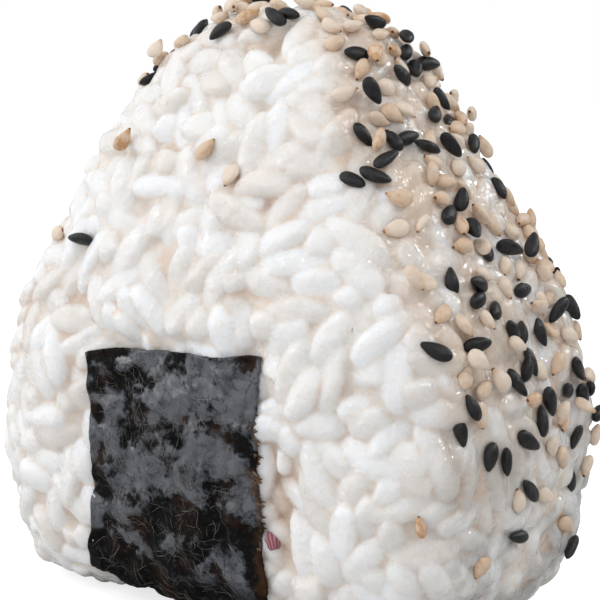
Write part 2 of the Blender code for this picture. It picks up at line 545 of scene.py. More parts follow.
def makeGrains(field, grains):
    count, ringCount, sides = len(grains["centers"]), grainShape["rings"], grainShape["sides"]
    stations = np.arange(ringCount + 2)
    along = np.broadcast_to(-np.cos(math.pi * stations / (ringCount + 1)), (count, ringCount + 2))
    profile, clipped = profileOf(grains, along)
    along, clipped, profile = along[..., None], clipped[..., None], profile[..., None]
    around = (2 * math.pi * np.arange(sides) / sides)[None, None]
    ripple = 1
    for least, most, turns, drift in grainShape["ripples"]:
        swell = drawEach(count, least, most)
        ripple = ripple + swell * np.sin(turns * around + drift * along + drawEach(count, 0, 6.3))
    ripple[:, [0, -1]] = 1
    profile = profile * (stations % (ringCount + 1) > 0)[None, :, None]
    each = {label: values[:, None, None] for label, values in grains.items()}
    sideways, upright = [
        np.sign(turn) * np.abs(turn) ** each["squareness"] for turn in (np.cos(around), np.sin(around))]
    girth = each["widths"] / 2 * profile * ripple
    wide = girth * sideways + each["bendSide"] * clipped ** 2
    high = girth * each["flatness"] * upright + each["bendUp"] * clipped ** 2
    spine = each["axes"] * (clipped * each["lengths"] / 2 + 0 * wide)[..., None]
    spots = each["centers"] + spine + each["aside"] * wide[..., None] + each["upward"] * high[..., None]
    pitch, height = grainShape["lumps"]
    apart = 40 * np.arange(count)[:, None, None, None]  # no two grains share a stretch of the noise
    lumps = height * lumpsAt((spots + apart) / pitch, 1) * profile ** 0.5
    rings = spots + unit(spots - each["centers"] - spine * 0.8) * lumps[..., None]
    walls = rings[:, 1:-1].reshape(count, -1, 3)
    return pressed(field, np.concatenate([walls, rings[:, 0, :1], rings[:, -1, :1]], axis=1))


# Hands press the grains back towards the outline.
pressing = {"from": 0.30, "rimFrom": 0.05, "firmness": 0.92, "rimFirmness": 0.80, "floor": 0.03}


def pressed(field, points):
    depth, out = field.sample(points)
    rim = rimShare(out)
    limit = pressing["from"] - (pressing["from"] - pressing["rimFrom"]) * rim - hollowDepth(points)
    firmness = pressing["firmness"] - (pressing["firmness"] - pressing["rimFirmness"]) * rim
    points = points - out * (np.maximum(depth - limit, 0) * firmness)[..., None]
    points[..., 2] = np.maximum(points[..., 2], pressing["floor"])
    return points


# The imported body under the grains: starch fills the gaps between them to just under their crests.
coreShape = {
    "rings": 180,
    "sides": 270,
    "rayStart": 80,  # outside the rice ball, seen from its middle
    "closing": 3,
    "softening": 2,
    "rimDepth": 0.50,
    "faceDepth": 0.42,
    "relief": 0.3,
    "reliefPitch": 1.7,
}
aroundCore = ("edge", "wrap")  # its grid stops at the poles and joins up around them


# Fills hollows narrower than twice the closing, and leaves the wider ones.
def closed(values, times):
    for choice, _, axis in itertools.product((np.maximum, np.minimum), range(times), (0, 1)):
        before, after = neighbours(values, axis, aroundCore[axis])
        values = choice(choice(before, values), after)
    return values


def grainTree(points):
    *_, walls = wallFaces(grainShape["rings"], grainShape["sides"])
    faces = walls[None] + np.arange(len(points))[:, None, None] * points.shape[1]
    return treeOf(points.reshape(-1, 3), faces.reshape(-1, 4))


def coreReach(field, tree):
    rings, sides, start = coreShape["rings"], coreShape["sides"], coreShape["rayStart"]
    tilt = (math.pi * np.arange(0, rings + 2) / (rings + 1))[:, None]
    turn = (2 * math.pi * np.arange(sides) / sides)[None]
    ways = [np.sin(tilt) * np.cos(turn), np.sin(tilt) * np.sin(turn), np.cos(tilt) + 0 * turn]
    ways = np.stack(ways, axis=-1)
    reach = np.empty(ways.shape[:2])
    for index in itertools.product(range(rings + 2), range(sides)):
        reach[index] = reachOf(tree, Vector(middle), Vector(ways[index]), start, 20)
    reach[0], reach[-1] = reach[0].mean(), reach[-1].mean()
    reach = blurred(closed(reach, coreShape["closing"]), coreShape["softening"], aroundCore)
    spots = middle + ways * reach[..., None]
    _, out = field.sample(spots)
    facing = np.maximum((out * ways).sum(axis=-1), 0.4)
    sunk = coreShape["faceDepth"] + (coreShape["rimDepth"] - coreShape["faceDepth"]) * rimShare(out)
    sunk = sunk - coreShape["relief"] * lumpsAt(spots, coreShape["reliefPitch"])
    reach = reach - sunk / facing
    reach[0], reach[-1] = reach[0].mean(), reach[-1].mean()
    return ways, reach


# Sticky rice is one mass: the grains and the core are fused, and every point keeps its nearest grain's tone.
fusing = {
    "voxel": 0.245,
    "smoothing": 0.15,
    "triangles": 197000,
    "filmOver": 0.12,  # the core this far from a grain is all starch colour, with its painted shade
    "creases": (0.015, 0.11),
    "roughness": ((1.5, 0.05), (0.75, 0.04)),  # pitch and height
}


def roughened(mesh, spots, normals):
    lift = 0
    for pitch, height in fusing["roughness"]:
        lift = lift + height * lumpsAt(spots, pitch)
    spots = spots + normals * (lift * ease(0, 1, spots[:, 2]))[:, None]
    fill(mesh.vertices, "co", spots * mm)
    return spots


# 1 along the sharp valleys where two grains meet, where the rice is painted with crease shade.
def creaseShare(mesh, spots, normals):
    first, second = numbersOf(mesh.edges, "vertices", 2, np.int32).T
    total, near = np.zeros_like(spots), np.zeros(len(spots))
    for one, other in ((first, second), (second, first)):
        np.add.at(total, one, spots[other])
        near += np.bincount(one, minlength=len(spots))
    bend = ((total / near[:, None] - spots) * normals).sum(axis=1)
    return ease(*fusing["creases"], bend)


# Each triangle is laid flat on the side of a box that it faces, and the six sides share one map.
def boxUvs(mesh, spots):
    corners = numbersOf(mesh.loops, "vertex_index", 1, np.int32).ravel()
    ways = (spots - middle)[corners].reshape(-1, 3, 3)
    mean = ways.mean(axis=1)
    axis = np.abs(mean).argmax(axis=1)
    side = axis * 2 + (np.take_along_axis(mean, axis[:, None], 1)[:, 0] > 0)
    far = np.abs(np.take_along_axis(ways, axis[:, None, None], 2))
    others = np.stack([(axis + 1) % 3, (axis + 2) % 3], axis=-1)
    flat = np.take_along_axis(ways, others[:, None], 2) / far
    cells = np.stack([side % 3, side // 3], axis=-1)[:, None]
    uvs = (cells + 0.5 + 0.46 * flat) / (3, 2)
    fill(mesh.uv_layers.new(name="OFBake").data, "uv", uvs)


def modified(body):
    return bpy.data.meshes.new_from_object(body.evaluated_get(bpy.context.evaluated_depsgraph_get()))


def fusedRice(field, tree, points, grains, ways, reach, material):
    spots = (middle + ways * reach[..., None])[::-1]
    spots[..., 2] = np.maximum(spots[..., 2], 0.05)
    core = bodiesMesh("core", spots[1:-1][None], spots[0, :1], spots[-1, :1], {})
    rings = points[:, :-2].reshape(len(points), grainShape["rings"], grainShape["sides"], 3)
    loose = bodiesMesh("grains", rings, points[:, -2], points[:, -1], {})
    shaping = bmesh.new()
    shaping.from_mesh(core)
    shaping.from_mesh(loose)
    shaping.to_mesh(loose)
    shaping.free()
    body = addObject("packedRice", loose)
    remesh = body.modifiers.new("fuse", "REMESH")
    remesh.mode = "VOXEL"
    remesh.voxel_size = fusing["voxel"] * mm
    body.modifiers.new("settle", "SMOOTH").factor = fusing["smoothing"]
    fused = modified(body)
    print("fused rice:", len(fused.polygons), "faces")
    body.modifiers.clear()
    body.data = fused
    body.modifiers.new("thin", "DECIMATE").ratio = min(fusing["triangles"] / (2 * len(fused.polygons)), 1)
    body.modifiers.new("triangles", "TRIANGULATE")
    mesh = modified(body)
    bpy.data.objects.remove(body)
    spots = numbersOf(mesh.vertices, "co", 3).astype(float) / mm
    normals = numbersOf(mesh.vertices, "normal", 3)
    valleys = creaseShare(mesh, spots, normals)
    spots = roughened(mesh, spots, normals)
    boxUvs(mesh, spots)
    perGrain = (grainShape["rings"] - 1) * grainShape["sides"]
    nearest = [tree.find_nearest(Vector(spot))[2:] for spot in spots]
    owners = np.array([face for face, _ in nearest]) // perGrain
    away = np.array([distance for _, distance in nearest])
    depth, out = field.sample(spots)
    # These attributes steer the rice's painted shade: in deep hollows, near the base, and in the gaps and
    # creases between grains.
    paint(mesh, {"depth": -depth, "wet": rimShare(out), "tone": grains["tone"][owners],
                 "height": spots[:, 2] / riceHigh[2],
                 "starchAndCreaseShade": np.maximum(ease(0.0, fusing["filmOver"], away), 0.7 * valleys)})
    piece = makePiece("packedRice", mesh, material)
    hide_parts("rice")
    return piece


def pieceTree(piece):
    mesh = piece.data
    spots = [tuple(vertex.co / mm) for vertex in mesh.vertices]
    return BVHTree.FromPolygons(spots, [tuple(polygon.vertices) for polygon in mesh.polygons])


# Sesame: flat teardrops stuck to the rim, thickest along the apex and the upper walls.
seedShape = {
    "thickness": (1.0, 1.35),
    "rings": 15,
    "sides": 16,
    "sunk": 0.3,  # how far a seed sits in the sticky surface
    "footing": 1.1,  # a seed's slope is felt this far round it
    "chain": (-0.33, 0.0, 0.33),  # where along a seed the balls that stand for it are
    "tipRise": 0.35,
    "wobble": 0.14,
}
blackSesame = {"length": (2.8, 3.5), "width": (1.45, 1.75), "pointed": (0.12, 0.38)}
whiteSesame = {"length": (2.4, 3.0), "width": (1.5, 1.95), "pointed": (0.35, 0.62)}
scatter = {
    "tries": 9000,
    "count": 275,
    "blackShare": 0.37,
    "clusterPitch": 4.6,
    "quietSide": 0.14,  # the share of seeds on the left wall, against the right
    "floorGap": 4.0,  # no seeds below this height
    "full": 56.0,  # from this height up, the walls are covered most
    "apexHeights": (59, 66),  # between these, the left wall comes to have as many as the right
    "strayShare": 0.02,  # on the broad faces
    "strayHeights": (30, 50),
    "apart": 1.24,  # between the balls that stand for two seeds
    "piled": 0.25,  # the share of seeds that may lie on others
    "pileHeights": (54, 62),  # between these, that share doubles
    "lifts": (0.4, 0.7),
    "onEdge": 0.14,
}


def seedChance(points, out):
    height = points[:, 2]
    rim = 1 - ease(0.35, 0.82, np.abs(out[:, 1]))
    apex = ease(*scatter["apexHeights"], height)
    side = np.where(points[:, 0] > 0, 1.0, scatter["quietSide"])
    side = side + (1 - side) * apex
    away = ease(-19.5, 0, points[:, 1])
    stray = scatter["strayShare"] * ease(*scatter["strayHeights"], height)
    share = rim * ease(0, scatter["full"], height) * side * (0.1 + 0.9 * away) + stray
    clusters = ease(-0.7, 0.4, lumpsAt(points, scatter["clusterPitch"]))
    return share * clusters * (height > scatter["floorGap"])


def wayOnto(tree, spot, out):
    hit = tree.ray_cast(Vector(spot + out * 8), Vector(-out))
    return (np.array(hit[0]), np.array(hit[1])) if hit[0] else (None, None)


def placeSeeds(field, tree, points, faces):
    spots, _ = surfacePoints(points, faces, scatter["tries"])
    _, outs = field.sample(spots)
    likely = seedChance(spots, outs) > chances.random(len(spots))
    seeds, balls = [], np.full((1, 3), 999.0)
    for spot, out in zip(spots[likely], outs[likely]):
        place, normal = wayOnto(tree, spot, out)
        if place is None or len(seeds) == scatter["count"]:
            continue
        black = chances.random() < scatter["blackShare"]
        kind = blackSesame if black else whiteSesame
        length, width = chances.uniform(*kind["length"]), chances.uniform(*kind["width"])
        thickness = chances.uniform(*seedShape["thickness"])
        nearby = [unit(np.cross(out, chances.normal(size=3))) * seedShape["footing"] for _ in range(4)]
        around = [wayOnto(tree, spot + step, out)[1] for step in nearby]
        flat = unit(out * 1.5 + normal + sum(found for found in around if found is not None))
        piled = scatter["piled"] * (1 + ease(*scatter["pileHeights"], place[2]))
        lifts = (0.0, 0.0, 0.0, 0.0, *(scatter["lifts"] if chances.random() < piled else ()))
        for lift in lifts:
            tilt, roll = chances.normal(0, seedShape["wobble"] + 0.2 * lift, 2)
            if chances.random() < scatter["onEdge"]:
                roll += chances.choice([-1, 1]) * chances.uniform(0.8, 1.4)
            axis = unit(np.cross(flat, chances.normal(size=3)))
            side = np.cross(flat, axis)
            axis, up = turned(axis, flat, tilt)
            side, up = turned(side, up, roll)
            stand = thickness / 2 * abs(math.cos(roll)) + width / 2 * abs(math.sin(roll))
            stand += seedShape["tipRise"] * abs(math.sin(tilt))
            center = place + out * (stand - seedShape["sunk"] + lift)
            chain = center + axis * (np.array(seedShape["chain"])[:, None] * length)
            if np.linalg.norm(chain[:, None] - balls[None], axis=-1).min() > scatter["apart"]:
                seeds.append([center, axis, side, up, length, width, thickness, black])
                balls = np.vstack([balls, chain])
                break
    print("seeds placed:", len(seeds), "of", int(likely.sum()), "chances")
    return [np.array(column) for column in zip(*seeds)]


def seedPiece(name, seeds, keep, pointed, material):
    center, axis, across, up, length, width, thickness = [
        column[keep][:, None, None] for column in seeds[:7]]
    count, ringCount, sides = len(center), seedShape["rings"], seedShape["sides"]
    along = -np.cos(math.pi * np.arange(ringCount + 2) / (ringCount + 1))[None, :, None]
    turn = (2 * math.pi * np.arange(sides) / sides)[None, None]
    narrow = drawEach(count, *pointed)
    fullness = 2 + 0.8 * ease(0.2, -0.6, along)  # the base is rounder than the tip
    outline = (1 - np.abs(along) ** fullness) ** 0.5 * (1 - narrow * ease(-0.35, 1.05, along))
    belly = (1 - np.abs(along) ** fullness) ** 0.58 * (1 - 0.5 * narrow * ease(-0.35, 1.05, along))
    wide = width / 2 * outline * np.sign(np.cos(turn)) * np.abs(np.cos(turn)) ** 0.92
    dent = drawEach(count, -0.9, 0.34).clip(0) * np.exp(-((along + drawEach(count, -0.3, 0.3)) / 0.55) ** 2)
    high = thickness / 2 * belly * np.sin(turn)
    high = high * (1 - dent * np.maximum(np.sin(turn), 0) ** 3) + drawEach(count, -0.12, 0.12) * along ** 2
    wide = wide + drawEach(count, -0.10, 0.10) * along ** 2
    far = length / 2 * along + 0 * wide
    rings = center + axis * far[..., None] + across * wide[..., None] + up * high[..., None]
    share = np.broadcast_to((along[:, 1:-1] + 1) / 2, (count, ringCount, sides)).reshape(count, -1)
    share = np.concatenate([share, np.zeros((count, 1)), np.ones((count, 1))], axis=1)
    attributes = {"tone": chances.random(count), "along": share}
    mesh = bodiesMesh(name, rings[:, 1:-1], rings[:, 0, 0], rings[:, -1, 0], attributes)
    makePiece(name, mesh, material)


whiteSesameLook = {
    "ivory": (0.82, 0.70, 0.58),
    "tan": (0.73, 0.55, 0.40),
    "golden": (0.58, 0.33, 0.16),
    "tip": (0.10, 0.035, 0.015),
    "roughness": 0.42,
}


def whiteSesameFinish():
    finish = Finish("whiteSesameSkin", IOR=1.46, Subsurface_Weight=0.25, Subsurface_Radius=(1.0, 0.7, 0.4),
                    Subsurface_Scale=0.4 * mm)
    tone = finish.painted("tone") + (finish.grain(1000, detail=4, roughness=0.6) - 0.5) * 1.3
    skin = finish.between(finish.fade(tone, 0.2, 0.8), whiteSesameLook["ivory"], whiteSesameLook["tan"])
    skin = finish.between(finish.fade(tone, 0.82, 1.1), skin, whiteSesameLook["golden"])
    along = finish.painted("along")
    toasted = finish.fade(along + (finish.grain(1200, detail=3) - 0.5) * 0.3, 0.66, 1.0) * 0.6
    skin = finish.between(toasted, skin, whiteSesameLook["golden"])
    tip = finish.fade(along + (finish.grain(1500) - 0.5) * 0.05, 0.93, 0.98)
    finish.feed("Base Color", finish.between(tip, skin, whiteSesameLook["tip"]))
    finish.speckle(whiteSesameLook["roughness"], 0.25, finish.grain(2200, detail=3))
    finish.bump(finish.grain(1500, detail=5, roughness=0.6, distortion=0.4), 0.22 * mm, 0.7)
    return finish.material


blackSesameLook = {
    "skin": (0.0045, 0.0045, 0.005),
    "worn": (0.020, 0.020, 0.023),
    "roughness": 0.36,
}


def blackSesameFinish():
    finish = Finish("blackSesameSkin", IOR=1.5, Specular_IOR_Level=0.4)
    blotches = finish.grain(1100, detail=4, roughness=0.6) + finish.painted("tone") * 0.2
    worn = finish.fade(blotches, 0.55, 0.85)
    finish.feed("Base Color", finish.between(worn, blackSesameLook["skin"], blackSesameLook["worn"]))
    finish.speckle(blackSesameLook["roughness"], 0.25, finish.grain(1800, detail=3))
    finish.bump(finish.grain(2600, detail=4, roughness=0.65), 0.14 * mm, 0.7)
    return finish.material


# The nori: one sheet laid over the grains from the front, under the base and up the back.
noriShape = {
    "rows": 300,
    "columns": 68,
    "pivotHeight": 37.0,
    "rayStart": 70,
    "clearance": 0.30,
    "relaxing": 9,  # more passes pull the sheet tauter over the grains
    "stiffness": 14,  # more passes keep its edges straighter
    "thickness": 0.22,
    "inset": 0.15,  # how far the long edges start inside the CAD band
    "swells": (4.2, 0.45),  # pitch and height
    "creases": ((1.5, 0.16), (0.62, 0.06)),
    "edgeWander": 0.28,
    "tear": 0.40,  # how ragged the right edge is
    "flare": (2.1, 25.5, 4.2),  # the left edge spreads: how far, where along the band, over what length
    "slump": 0.25,  # of the front's top corners
    "cling": (0.8, 1.6),  # along its edges the sheet lies down on the grains: how much, how far in
    "sink": 0.16,  # the most that a crease may sink towards the grains
    "floor": 0.03,
    "thinEdge": 2.4,
    "crestPasses": 60,
}


def bandAngles(noriTree, across):
    angles, start = np.radians(np.linspace(0, 180, 721)), noriShape["rayStart"]
    pivot = Vector((across, 0, noriShape["pivotHeight"]))
    spots = []
    for angle in angles:
        way = Vector((0, -math.cos(angle), -math.sin(angle)))
        spots.append(reachOf(noriTree, pivot, way, start, 0))
    found = np.nonzero(spots)[0]
    angles, radii = angles[found], np.array(spots)[found]
    walk = np.stack([-np.cos(angles) * radii, -np.sin(angles) * radii], axis=-1)
    travelled = np.concatenate([[0], np.cumsum(np.linalg.norm(np.diff(walk, axis=0), axis=1))])
    return np.interp(np.linspace(0, travelled[-1], noriShape["rows"]), travelled, angles), travelled[-1]


def wander(values, pitch, seed):
    return np.array([noise.noise(Vector((value / pitch, seed, 0.5))) for value in values])


# The long edges of the sheet, row by row.
def noriEdges(travel):
    drift = wander(travel, 5.0, 1.7) + 0.5 * wander(travel, 1.6, 4.1)
    left = noriLow[0] + noriShape["inset"] + noriShape["edgeWander"] * drift
    spread, foot, span = noriShape["flare"]
    left = left - spread * np.exp(-((travel - foot) / span) ** 2)
    right = noriHigh[0] - noriShape["inset"] - noriShape["edgeWander"] * wander(travel, 6.0, 8.2)
    ragged = wander(travel, 0.9, 3.3) + 0.5 * wander(travel, 0.4, 6.3)
    return left[:, None], (right - noriShape["tear"] * np.maximum(ragged, -0.2))[:, None]


def noriSheet(riceTree, material):
    noriTree = treeOf(*nodeTriangles("nori"))
    (leftAngles, bandLength), (rightAngles, _) = [
        bandAngles(noriTree, side) for side in (noriLow[0] + 1.5, noriHigh[0] - 1.5)]
    rows, columns, start = noriShape["rows"], noriShape["columns"], noriShape["rayStart"]
    travel = np.linspace(0, bandLength, rows)[:, None]
    left, right = noriEdges(travel[:, 0])
    share = np.linspace(0, 1, columns)
    across = left + (right - left) * share
    angles = leftAngles[:, None] * (1 - share) + rightAngles[:, None] * share
    ways = np.stack([0 * angles, -np.cos(angles), -np.sin(angles)], axis=-1)
    over = np.empty((rows, columns))
    for row, column in itertools.product(range(rows), range(columns)):
        pivot = Vector((across[row, column], 0, noriShape["pivotHeight"]))
        over[row, column] = reachOf(riceTree, pivot, Vector(ways[row, column]), start, 10)
    over = over + noriShape["clearance"]
    reach = over
    for _ in range(noriShape["relaxing"]):
        reach = np.maximum(over, blurred(reach))
    toEdge = np.minimum(np.minimum(across - left, right - across), np.minimum(travel, bandLength - travel))
    most, width = noriShape["cling"]
    cling = most * (1 - ease(0, width, toEdge))
    reach = blurred(reach, 2) * (1 - cling) + blurred(over, noriShape["stiffness"]) * cling
    spots = np.stack([across, np.repeat(travel, columns, axis=1), 0 * across], axis=-1)
    pitch, height = noriShape["swells"]
    reach = reach + height * (lumpsAt(spots, pitch) + 0.3) * (1 - cling)
    for pitch, height in noriShape["creases"]:
        reach = reach + height * (1 - 3 * np.abs(lumpsAt(spots, pitch))) * (1 - 0.6 * cling)
    reach = np.maximum(reach, over - noriShape["sink"])
    lowest = (noriShape["pivotHeight"] - 2 * noriShape["floor"]) / np.maximum(-ways[..., 2], 0.2)
    reach = np.minimum(reach, lowest)
    pivots = np.stack([across, 0 * across, 0 * across + noriShape["pivotHeight"]], axis=-1)
    corner = np.exp(-travel / 0.9) * (np.exp(-share * 24) + 0.6 * np.exp(-(1 - share) * 30))
    pivots[..., 2] -= corner * noriShape["slump"]
    outer = pivots + ways * reach[..., None]
    inner = pivots + ways * (reach - noriShape["thickness"])[..., None]
    outer[..., 2] = np.maximum(outer[..., 2], noriShape["floor"])
    inner[..., 2] = np.maximum(inner[..., 2], noriShape["floor"] + 0.6 * noriShape["thickness"])
    thin = (1 - ease(0, noriShape["thinEdge"], right - across)) * ease(6, 14, travel)
    # The crest and height attributes steer where sheen is painted on the nori.
    crest = (reach - blurred(reach, noriShape["crestPasses"])) / 0.5
    mesh = sheetMesh("noriSheet", outer, inner, {"edge": thin, "crest": crest,
                                                 "height": outer[..., 2] / noriHigh[2]})
    sheet = makePiece("noriSheet", mesh, material)
    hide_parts("nori")
    return outer


noriLook = {
    "dark": (0.0030, 0.0030, 0.0028),
    # painted sheen: this pale blue-grey stands in for reflections of the sky on the sheet, over its real
    # paler mottling
    "paintedSheenSlate": (0.118, 0.125, 0.142),
    "brown": (0.030, 0.014, 0.008),
    "edgeBrown": (0.058, 0.026, 0.011),
    "sheenPlates": (0.462, 0.535),  # over this range of the pattern, black turns to the painted sheen
    "sheenHeights": (0.15, 0.26),  # shares of the height, below which no sheen is painted: the sheet is painted darker towards its foot, where it reflects the floor
    "relief": 1.1 * mm,
}


def noriFinish():
    finish = Finish("toastedNori", IOR=1.5, Specular_IOR_Level=0.07, Coat_Roughness=0.25)
    height = finish.painted("height")
    pattern = finish.grain(210, detail=8, roughness=0.62, distortion=0.2)
    # Painted sheen: more of it towards the top and on the crests, where the sheet faces the sky.
    pattern = pattern + height * 0.15 + finish.painted("crest") * 0.05 - 0.074
    sheenPlates = finish.fade(pattern, *noriLook["sheenPlates"]) * finish.fade(height, *noriLook["sheenHeights"])
    veins = finish.grain(300, detail=4, roughness=0.6, distortion=0.2) - 0.5
    cracks = finish.fade(finish.math("ABSOLUTE", veins), 0.0, 0.022)
    cloud = finish.fade(finish.grain(500, detail=5, roughness=0.6), 0.3, 0.6)
    specks = finish.fade(finish.grain(1500, detail=5, roughness=0.7), 0.55, 0.66)
    # The sheen is painted into the base colour as well as given as coat; faint specks of it lie in the
    # black.
    sheen = sheenPlates * (0.45 + cracks * 0.55) * (0.42 + cloud * 0.58) + (1 - sheenPlates) * specks * 0.2
    browning = finish.fade(finish.grain(240, detail=5), 0.5, 0.7)
    dark = finish.between(browning, noriLook["dark"], noriLook["brown"])
    skin = finish.between(sheen, dark, noriLook["paintedSheenSlate"])
    rust = finish.painted("edge") * 0.4 + finish.grain(620, detail=5, roughness=0.6)
    rusty = finish.fade(rust, 0.68, 0.98)
    finish.feed("Base Color", finish.between(rusty, skin, noriLook["edgeBrown"]))
    finish.feed("Roughness", 0.5 - sheenPlates * 0.15)
    finish.feed("Coat Weight", sheen * 0.7 + 0.02)
    crinkle = finish.grain(620, detail=6, roughness=0.6, distortion=0.8)
    fine = finish.grain(2600, detail=4, roughness=0.65)
    finish.bump((crinkle + fine * 0.16) * (1.1 - sheenPlates * 0.5), noriLook["relief"], 0.9)
    return finish.material


# Pale hairs lie across the nori, and torn threads stand along its right edge.
fibreShape = {
    "count": 340,
    "length": (0.5, 2.6),
    "rows": (2, 92),  # the rows of the sheet that they start on, all at the front
    "radius": 0.012,
    "points": 9,
    "sides": 4,
    "lift": 0.04,
    "tip": 0.05,
    "dull": (0.15, 0.13, 0.10),
    "bright": (0.50, 0.47, 0.42),
}
fringeShape = {
    "count": 54,
    "reach": (0.3, 1.25),
    "rows": (18, 92),
    "denser": (18, 20, 48),  # this many of them stand between these rows
    "halfWidth": (0.18, 0.55),
    "halfThickness": 0.035,
    "points": 5,
    "sides": 8,
    "tip": 0.05,
    "dull": (0.03, 0.014, 0.006),
    "bright": (0.15, 0.082, 0.038),
}


def onSheet(outer, rows, columns):
    low, left = [np.clip(values.astype(int), 0, size - 2)
                 for values, size in ((rows, outer.shape[0]), (columns, outer.shape[1]))]
    down, over = (rows - low)[..., None], (columns - left)[..., None]
    top = outer[low, left] * (1 - over) + outer[low, left + 1] * over
    bottom = outer[low + 1, left] * (1 - over) + outer[low + 1, left + 1] * over
    return top * (1 - down) + bottom * down


def noriFibres(outer, material):
    count, stations = fibreShape["count"], fibreShape["points"]
    pitch = np.linalg.norm(outer[60, 30] - outer[100, 30]) / 40
    rows = chances.uniform(*fibreShape["rows"], (count, 1))
    columns = chances.uniform(2, outer.shape[1] - 12, (count, 1))
    lengths = chances.uniform(*fibreShape["length"], (count, 1)) / pitch
    slope = chances.normal(0.9, 0.9, (count, 1))
    share = np.linspace(0, 1, stations)[None]
    bow = chances.normal(0, 0.06, (count, 1)) * lengths * np.sin(math.pi * share)
    rows = np.clip(rows + lengths * share * np.sin(slope) + bow, 0.5, outer.shape[0] - 2)
    columns = np.clip(columns + lengths * share * np.cos(slope) - bow, 0.5, outer.shape[1] - 2)
    spots = onSheet(outer, rows, columns)
    downhill = onSheet(outer, rows + 1, columns) - spots
    aside = onSheet(outer, rows, columns + 1) - spots
    up = unit(np.cross(downhill, aside))
    ways = unit(np.gradient(spots, axis=1))
    sideways = unit(np.cross(up, ways))
    radii = fibreShape["radius"] * np.sin(math.pi * (0.06 + 0.88 * share)) ** 0.5 + 0 * rows
    paths = spots + up * fibreShape["lift"]
    strandPiece("noriFibres", fibreShape, paths, (sideways, up), (radii, radii * 0.7),
                (ways[:, 0], ways[:, -1]), material)


def noriFringe(outer, material):
    count, stations = fringeShape["count"], fringeShape["points"]
    rows = np.sort(chances.uniform(*fringeShape["rows"], count))
    more, low, high = fringeShape["denser"]
    rows[-more:] = chances.uniform(low, high, more)
    edge = np.full(count, outer.shape[1] - 2.0)
    starts = onSheet(outer, rows, edge - 0.5)
    outwards = unit(onSheet(outer, rows, edge + 0.9) - starts)
    downhill = unit(onSheet(outer, rows + 1, edge) - onSheet(outer, rows, edge))
    up = unit(np.cross(downhill, outwards))
    lean = chances.normal(0.5, 0.45, (count, 1))
    way = unit(outwards + downhill * lean)
    reach = chances.uniform(*fringeShape["reach"], (count, 1, 1))
    share = np.linspace(0, 1, stations)[None, :, None]
    curl = chances.normal(-0.25, 0.25, (count, 1, 1))
    rise = curl * reach * share ** 2 - 0.06
    paths = starts[:, None] + way[:, None] * reach * share + up[:, None] * rise
    sideways = np.broadcast_to(unit(np.cross(up, way))[:, None], paths.shape)
    upward = np.broadcast_to(up[:, None], paths.shape)
    halfWidths = chances.uniform(*fringeShape["halfWidth"], (count, 1)) * (1 - share[..., 0]) ** 0.7 + 0.02
    thicknesses = 0 * halfWidths + fringeShape["halfThickness"]
    strandPiece("noriFringe", fringeShape, paths, (sideways, upward), (halfWidths, thicknesses),
                (way, way), material)


def strandFinish(name, strands, roughness):
    finish = Finish(name, IOR=1.45, Roughness=roughness)
    tone = finish.painted("tone") * 0.7 + finish.grain(900, detail=2) * 0.4
    finish.feed("Base Color", finish.between(tone, strands["dull"], strands["bright"]))
    finish.bump(finish.grain(3000, detail=2), 0.03 * mm, 0.5)
    return finish.material


# One striped pink shred caught beside the foot of the nori.
flakeShape = {
    "beside": 0.7,
    "height": 12.6,
    "length": 2.1,
    "width": 1.7,
    "curl": 0.4,
    "thickness": 0.16,
    "rows": 22,
    "columns": 12,
    "dark": (0.22, 0.055, 0.075),
    "light": (0.42, 0.20, 0.22),
}


def pinkFinish():
    finish = Finish("pinkShred", IOR=1.42, Subsurface_Weight=0.3, Subsurface_Scale=0.4 * mm)
    stripes = finish.fade(finish.painted("stripe") + (finish.grain(1400) - 0.5) * 0.3, 0.4, 0.6)
    finish.feed("Base Color", finish.between(stripes, flakeShape["dark"], flakeShape["light"]))
    finish.speckle(0.34, 0.2, finish.grain(1500))
    finish.bump(finish.grain(2200, detail=3), 0.08 * mm, 0.6)
    return finish.material


def pinkFlake(tree, material):
    start = Vector((noriHigh[0] + flakeShape["beside"], -60, flakeShape["height"]))
    hit = tree.ray_cast(start, Vector((0, 1, 0)))
    place, up = np.array(hit[0]), unit(np.array(hit[1]) + (0.2, -1.0, 0.3))
    long = unit(np.cross(up, (0.75, 0.1, 0.35)))
    wide = np.cross(up, long)
    stations = [np.linspace(-1, 1, flakeShape[label]) for label in ("rows", "columns")]
    share, aside = np.meshgrid(*stations, indexing="ij")
    narrow = (1 - 0.55 * share ** 2) * (1 + 0.12 * np.sin(5 * share))
    spots = (place + up * 0.28 + long * (share * flakeShape["length"] / 2)[..., None]
             + wide * (aside * narrow * flakeShape["width"] / 2)[..., None]
             - up * (flakeShape["curl"] * (0.6 * share ** 2 + 0.7 * aside ** 2))[..., None])
    stripe = 0.5 + 0.5 * np.sin(aside * 13 + 0.8 * share)
    mesh = sheetMesh("pinkFlake", spots, spots - up * flakeShape["thickness"], {"stripe": stripe})
    makePiece("pinkFlake", mesh, material)


cameraPlace = {
    "azimuth": 37.4,
    "elevation": 7.97,
    "distance": 171.1,
    "aimRight": 1.41,
    "aimDown": 3.70,
    "middleHeight": 37.3,
    "lens": 90.0,
}


def makeCamera():
    azimuth, elevation = [math.radians(cameraPlace[label]) for label in ("azimuth", "elevation")]
    flat = math.cos(elevation)
    back = Vector((math.sin(azimuth) * flat, -math.cos(azimuth) * flat, math.sin(elevation)))
    right = Vector((math.cos(azimuth), math.sin(azimuth), 0))
    target = Vector((0, 0, cameraPlace["middleHeight"]))
    aim = target + right * cameraPlace["aimRight"] - back.cross(right) * cameraPlace["aimDown"]
    spot = target + back * cameraPlace["distance"]
    lens = bpy.data.cameras.new("camera")
    lens.lens, lens.sensor_width = cameraPlace["lens"], 36
    lens.clip_start, lens.clip_end = 0.005, 20
    camera = addObject("camera", lens)
    camera.location = spot * mm
    camera.rotation_euler = (aim - spot).to_track_quat("-Z", "Y").to_euler()
    bpy.context.scene.camera = camera


